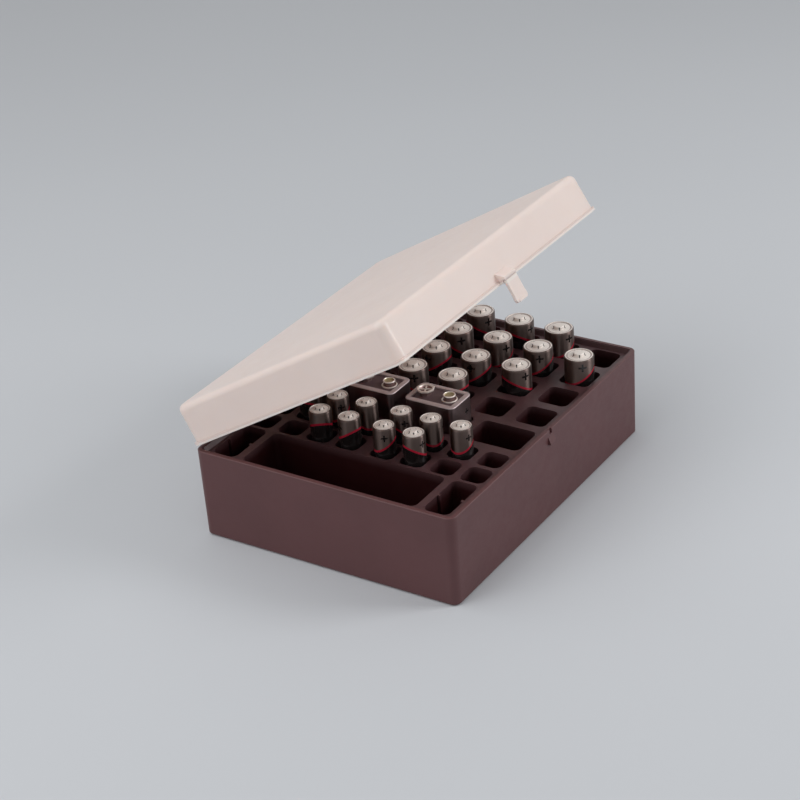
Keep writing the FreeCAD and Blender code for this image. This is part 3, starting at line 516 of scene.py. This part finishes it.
def round_cell(node, kind, turn):
    """An AA or AAA cell turned about its axis by `turn` degrees."""
    low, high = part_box(node)
    facts = CELLS[kind]
    outline = cell_profile(facts["radius"], facts["length"], facts["nub"], facts["nub_height"])
    shape = lathe([point for point, _ in outline], [index for _, index in outline])
    wrap_uv(shape, SLEEVE)
    add_vents(shape, facts, turn)
    middle = (low + high) / 2
    place = (Matrix.Translation((middle.x, middle.y, low.z))
             @ Matrix.Rotation(math.radians(turn), 4, "Z"))
    materials = [facts["sleeve"], CAP_STEEL, SEAL_PLASTIC, VENT_SHADE]
    mesh_data = to_mesh(f"{node}_detail", shape, materials, place)
    finish_piece(f"{node}_detail", mesh_data, node, [node])


VENT_COUNT = 5


def add_vents(shape, facts, turn):
    """Vent slots pressed round the foot of the nub, as dark boxes of painted shade for the
    shade inside them: each runs down the nub's wall and a little way out on the cap. The first
    looks the way that FACING gives."""
    shoulder = facts["length"] - facts["nub_height"]
    nub, reach, rise = facts["nub"], facts["vent"], facts["nub_height"] - 0.35
    for number in range(VENT_COUNT):
        vent = bmesh.new()
        add_box(vent, (0.5, 0.55, rise), (nub - 0.16, 0, shoulder + rise / 2 + 0.1))
        add_box(vent, (reach, 0.5, 0.3), (nub + reach / 2, 0, shoulder - 0.1))
        for face in vent.faces:
            face.material_index = VENT
        angle = math.radians(FACING - turn) + FULL_TURN * number / VENT_COUNT
        add_shape(shape, vent, Matrix.Rotation(angle, 4, "Z"))


# Sizes of the cells, in mm; "vent" is how far a vent slot reaches out on the cap.
CELLS = {
    "aa": {"radius": 7.15, "length": 50.5, "nub": 2.7, "nub_height": 1.4, "vent": 0.65,
           "slot": "aa_jacket",
           "sleeve": printed_sleeve("AA sleeve", length=50.5, diameter=14.3, line_depth=10.4,
                                    slant=4.1, plus_size=4.0, plus_depth=5.0)},
    "aaa": {"radius": 5.2, "length": 44.5, "nub": 1.9, "nub_height": 1.0, "vent": 0.45,
            "slot": "aaa_jacket",
            "sleeve": printed_sleeve("AAA sleeve", length=44.5, diameter=10.4, line_depth=9.7,
                                     slant=3.2, plus_size=3.3, plus_depth=5.4)},
}


# ---------------------------------------------------------------- 9 V blocks

BLOCK_SLEEVE, BLOCK_FRAME, BLOCK_PLATE, BLOCK_BRASS, BLOCK_FOOT, BLOCK_STUD, BLOCK_NECK = range(7)

# Sizes of a block, in mm: its height without the studs, the radius of its upright edges and of
# its rims, how near the top a side face still belongs to the frame, the width of the frame, how
# far the plate lies below it, the way round the block, and the spacing of the studs.
BLOCK_HEIGHT = 46.4
BLOCK_CORNER = 3.0
BLOCK_RIM = 0.45
FRAME_DEPTH = 0.6
FRAME_WIDTH = 2.0
PLATE_SINK = 0.75
BLOCK_GIRTH = 88.0
STUD_SPACING = 12.7


def top_and_foot(shape):
    """The largest face that looks up, and the largest that looks down."""
    return [max((face for face in shape.faces if side * face.normal.z > 0.9),
                key=lambda face: face.calc_area()) for side in (1, -1)]


def block_body(size):
    """The block: rounded upright edges and a sunk top plate inside a raised metal frame."""
    shape = bmesh.new()
    bmesh.ops.create_cube(shape, size=1.0)
    bmesh.ops.scale(shape, verts=shape.verts, vec=size)
    bmesh.ops.translate(shape, verts=shape.verts, vec=(0, 0, size.z / 2))
    upright = [edge for edge in shape.edges
               if abs(edge.verts[0].co.z - edge.verts[1].co.z) > size.z / 2]
    bmesh.ops.bevel(shape, geom=upright, offset=BLOCK_CORNER * MM, offset_type="OFFSET",
                    segments=6, profile=0.5, affect="EDGES", material=-1)
    for face in shape.faces:
        face.material_index = BLOCK_SLEEVE
    top, foot = top_and_foot(shape)
    bmesh.ops.bevel(shape, geom=[*top.edges, *foot.edges], offset=BLOCK_RIM * MM,
                    offset_type="OFFSET", segments=3, profile=0.5, affect="EDGES", material=-1)
    top, foot = top_and_foot(shape)
    foot.material_index = BLOCK_FOOT
    ring = bmesh.ops.inset_region(shape, faces=[top], thickness=FRAME_WIDTH * MM)["faces"]
    for face in ring:
        face.material_index = BLOCK_FRAME
    sunk = bmesh.ops.extrude_face_region(shape, geom=[top])["geom"]
    bmesh.ops.delete(shape, geom=[top], context="FACES_ONLY")
    verts = [item for item in sunk if isinstance(item, bmesh.types.BMVert)]
    bmesh.ops.translate(shape, verts=verts, vec=(0, 0, -PLATE_SINK * MM))
    for item in sunk:
        if isinstance(item, bmesh.types.BMFace):
            item.material_index = BLOCK_PLATE
    for face in shape.faces:
        height = face.calc_center_median().z
        if height > size.z - FRAME_DEPTH * MM and face.material_index == BLOCK_SLEEVE:
            face.material_index = BLOCK_FRAME
    bmesh.ops.recalc_face_normals(shape, faces=shape.faces)
    return shape


# Outlines of the studs from the bottom up: (radius, height) in mm, and the material of the
# stretch that starts there.
ROUND_STUD = [((0, 0), BLOCK_STUD), ((3.7, 0), BLOCK_STUD), ((3.75, 0.35), BLOCK_STUD),
              ((3.45, 0.6), BLOCK_STUD), ((3.05, 0.45), BLOCK_NECK), ((2.75, 0.1), BLOCK_NECK),
              ((2.5, 0.2), BLOCK_NECK), ((2.4, 1.7), BLOCK_NECK), ((2.7, 2.15), BLOCK_STUD),
              ((2.95, 2.5), BLOCK_STUD), ((2.8, 2.8), BLOCK_STUD), ((2.45, 2.85), BLOCK_STUD),
              ((2.25, 2.65), BLOCK_BRASS), ((2.15, 2.2), BLOCK_BRASS), ((0, 2.1), BLOCK_BRASS)]
CROWN_STUD = [((0, 0), BLOCK_NECK), ((2.7, 0), BLOCK_NECK), ((2.75, 1.2), BLOCK_NECK),
              ((3.2, 1.75), BLOCK_STUD), ((4.25, 2.4), BLOCK_STUD), ((4.35, 3.05), BLOCK_STUD),
              ((4.1, 3.25), BLOCK_STUD), ((3.35, 3.2), BLOCK_STUD), ((3.05, 2.9), BLOCK_NECK),
              ((2.5, 1.9), BLOCK_NECK), ((0, 1.7), BLOCK_NECK)]


def block_cell(node):
    """A 9 V block with its round stud and its eight-sided crown."""
    low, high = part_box(node)
    size = Vector((high.x - low.x, high.y - low.y, BLOCK_HEIGHT * MM))
    shape = block_body(size)
    for profile, side, steps in ((ROUND_STUD, -1, 40), (CROWN_STUD, 1, 8)):
        stud = lathe([point for point, _ in profile], [index for _, index in profile], steps)
        if profile is CROWN_STUD:
            add_crown_arms(stud)
        add_shape(shape, stud, Matrix.Translation((0, side * STUD_SPACING / 2 * MM,
                                                   size.z - PLATE_SINK * MM)))
    block_uv(shape, size)
    middle = (low + high) / 2
    place = Matrix.Translation((middle.x, middle.y, low.z))
    materials = [BLOCK_SLEEVE_PRINT, FRAME_STEEL, PLATE_BOARD, STUD_BRASS, BLOCK_BASE,
                 STUD_STEEL, SHADED_NECK_STEEL]
    mesh_data = to_mesh(f"{node}_detail", shape, materials, place)
    finish_piece(f"{node}_detail", mesh_data, node, [node])


# Size of a spring arm, and how high its middle lies over the crown's foot, in mm.
ARM_SIZE = (6.4, 0.8, 0.4)
ARM_HEIGHT = 2.55


def add_crown_arms(crown):
    """The spring arms that cross inside the crown, under its rim."""
    for turn in (22.5, 112.5):
        arm = bmesh.new()
        add_box(arm, ARM_SIZE)
        bmesh.ops.bevel(arm, geom=arm.edges[:], offset=0.12 * MM, offset_type="OFFSET",
                        segments=2, profile=0.5, affect="EDGES", material=-1)
        for face in arm.faces:
            face.material_index = BLOCK_STUD
        add_shape(crown, arm, Matrix.Rotation(math.radians(turn), 4, "Z")
                  @ Matrix.Translation((0, 0, ARM_HEIGHT * MM)))


def block_uv(shape, size):
    """UV map "wrap" on a block: turns round, where the middle of the front face lies
    BLOCK_FRONT on from the start, and height in metres."""
    layer = shape.loops.layers.uv.new("wrap")
    half = size / 2
    for face in shape.faces:
        normal = face.normal
        for loop in face.loops:
            place = loop.vert.co
            if abs(normal.y) > abs(normal.x):
                across = place.x if normal.y < 0 else size.x + size.y - place.x
            else:
                across = half.x + half.y + place.y
                across = across if normal.x > 0 else -across
            loop[layer].uv = ((across + BLOCK_FRONT * MM) / (2 * (size.x + size.y)), place.z)


# In mm: round the block, the middle of its front face and the way from there to the plus sign;
# and up the block, the red line and the plus sign, whose size and stroke follow.
BLOCK_FRONT = 28.75
PLUS_ASIDE = 3.0
BLOCK_LINE = 31.0
BLOCK_PLUS = 39.7
BLOCK_PLUS_SIZE = 3.2
BLOCK_PLUS_STROKE = 0.85


def block_sleeve():
    """The block's sleeve: grey metal above, a level red line, black below, and a plus sign on
    its front."""
    material, graph, shader = new_material("block sleeve")
    wrap = graph.node("UVMap", uv_map="wrap").outputs[0]
    printed = use_group(graph, SLEEVE_PRINT, Wrap=wrap, Line_Height=BLOCK_LINE * MM, Slant=0.0,
                        Line_Width=LINE_WIDTH, Girth=BLOCK_GIRTH * MM,
                        Plus_Turn=(BLOCK_FRONT + PLUS_ASIDE) / BLOCK_GIRTH,
                        Plus_Height=BLOCK_PLUS * MM, Plus_Size=BLOCK_PLUS_SIZE * MM,
                        Plus_Stroke=BLOCK_PLUS_STROKE * MM)
    metal = use_group(graph, DRAWN_METAL, Place=object_place(graph), Colour=BLOCK_BAND_COLOUR,
                      Tarnish=BLOCK_BAND_TARNISH, Gloss=0.33)
    set_sleeve(graph, shader, printed, metal, ink_gloss=0.22, depth=BLOCK_SLEEVE_DEPTH)
    return material


BLOCK_SLEEVE_PRINT = block_sleeve()


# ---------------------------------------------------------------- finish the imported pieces


FINISHES = {
    "case_shell": CASE_PLASTIC,
    "cell_tray": TRAY_PLASTIC,
    "lid": LID_PLASTIC,
    "latch_tongue": LID_PLASTIC,
    "hinge_pin_left": PIN_STEEL,
    "hinge_pin_right": PIN_STEEL,
}
for node, finish in FINISHES.items():
    materials = frame["nodes"][node].data.materials
    materials.clear()
    materials.append(finish)

# How far each cell is turned: degrees from FACING to the lowest point of its red line.
AA_TURNS = [-130, 75, -100, 140, 107, -100, -118, 95, -60, -68, -75, -45, 82, 65, 150, -38,
            122, 105, 10, 80]
AAA_TURNS = [119, -77, -136, 180, -38, 10, 90, 20, -60, 150]
for number, turn in enumerate(AA_TURNS, start=1):
    round_cell(f"aa_cell_{number:02d}", "aa", FACING + turn)
for number, turn in enumerate(AAA_TURNS, start=1):
    round_cell(f"aaa_cell_{number:02d}", "aaa", FACING + turn)
for number in (1, 2, 3):
    block_cell(f"nine_volt_cell_{number}")


# ---------------------------------------------------------------- floor, light, camera

FLOOR_REACH = 6.0
FLOOR_GREYS = ((0.55, 0.57, 0.60), (0.58, 0.60, 0.63))
WORLD_SHOWN = 0.8
WORLD_LIT = 0.36
LIGHTS_MEET = Vector((0, 0, 0.05))


def seen_or_lit(graph, shown, lit):
    """One strength for what the camera, gloss and clear plastic see, another as light."""
    path = graph.node("LightPath").outputs
    seen = graph.math("MAXIMUM", path["Is Camera Ray"],
                      graph.math("MAXIMUM", path["Is Glossy Ray"], path["Is Transmission Ray"]))
    return graph.mix(seen, lit, shown)


def studio_floor():
    """A pale, faintly clouded floor under the case."""
    shape = bmesh.new()
    bmesh.ops.create_grid(shape, x_segments=1, y_segments=1, size=FLOOR_REACH)
    mesh_data = bpy.data.meshes.new("floor")
    shape.to_mesh(mesh_data)
    shape.free()
    material, graph, shader = new_material("pale floor")
    cloud = graph.noise(object_place(graph), scale=3.0, detail=2.0)
    set_shader(graph, shader, Base_Color=graph.mix(cloud, *FLOOR_GREYS), Roughness=0.7)
    mesh_data.materials.append(material)
    floor = bpy.data.objects.new("floor", mesh_data)
    bpy.context.scene.collection.objects.link(floor)


def studio_world():
    """A pale background, brighter to the eye than as a source of light."""
    world = bpy.data.worlds.new("studio")
    bpy.context.scene.world = world
    world.use_nodes = True
    world.node_tree.nodes.clear()
    graph = Graph(world.node_tree)
    back = graph.node("Background", {"Color": (1.0, 1.0, 1.0)})
    graph.feed(back.inputs["Strength"], seen_or_lit(graph, WORLD_SHOWN, WORLD_LIT))
    graph.node("OutputWorld", {"Surface": back.outputs[0]})


def softbox(name, azimuth, elevation, distance, size, power):
    """A square lamp that faces LIGHTS_MEET from a distance. Its power is in watts."""
    lamp = bpy.data.lights.new(name, "AREA")
    lamp.shape = "SQUARE"
    lamp.size = size
    lamp.energy = power
    holder = bpy.data.objects.new(name, lamp)
    bpy.context.scene.collection.objects.link(holder)
    away = direction(azimuth, elevation)
    holder.location = LIGHTS_MEET + away * distance
    holder.rotation_mode = "QUATERNION"
    holder.rotation_quaternion = away.to_track_quat("Z", "Y")


def direction(azimuth, elevation):
    """Unit vector from the box towards a viewer or lamp at azimuth and elevation, in degrees:
    one at azimuth 0 looks at the front, and one at 90 at the right-hand side."""
    turn, rise = math.radians(azimuth), math.radians(elevation)
    return Vector((math.sin(turn) * math.cos(rise), -math.cos(turn) * math.cos(rise),
                   math.sin(rise)))


# The camera looks down at the case's front left corner. Angles are in degrees, lengths in
# metres, and the lens in millimetres.
CAMERA_AZIMUTH = -55.39
CAMERA_ELEVATION = 28.71
CAMERA_ROLL = -4.57
CAMERA_DISTANCE = 1.0110
CAMERA_TARGET = (0.00246, 0.01419, 0.03924)
CAMERA_LENS = 96.35


def add_camera():
    """The camera, rolled a little about its line of sight."""
    data = bpy.data.cameras.new("camera")
    data.lens = CAMERA_LENS
    data.sensor_width = 36.0
    data.clip_start = 0.05
    data.clip_end = 50.0
    holder = bpy.data.objects.new("camera", data)
    bpy.context.scene.collection.objects.link(holder)
    back = direction(CAMERA_AZIMUTH, CAMERA_ELEVATION)
    right = Vector((0, 0, 1)).cross(back).normalized()
    up = back.cross(right)
    roll = math.radians(CAMERA_ROLL)
    tilted_right = math.cos(roll) * right + math.sin(roll) * up
    tilted_up = -math.sin(roll) * right + math.cos(roll) * up
    turned = Matrix((tilted_right, tilted_up, back)).transposed().to_4x4()
    spot = Vector(CAMERA_TARGET) + back * CAMERA_DISTANCE
    holder.matrix_world = Matrix.Translation(spot) @ turned
    bpy.context.scene.camera = holder


studio_floor()
studio_world()
softbox("key softbox", azimuth=28, elevation=29, distance=1.1, size=0.4, power=4.75)
softbox("left softbox", azimuth=-110, elevation=35, distance=1.3, size=0.9, power=4.5)
softbox("top softbox", azimuth=-140, elevation=66, distance=1.2, size=0.9, power=4.6)
add_camera()
bpy.context.scene.view_settings.view_transform = "Standard"
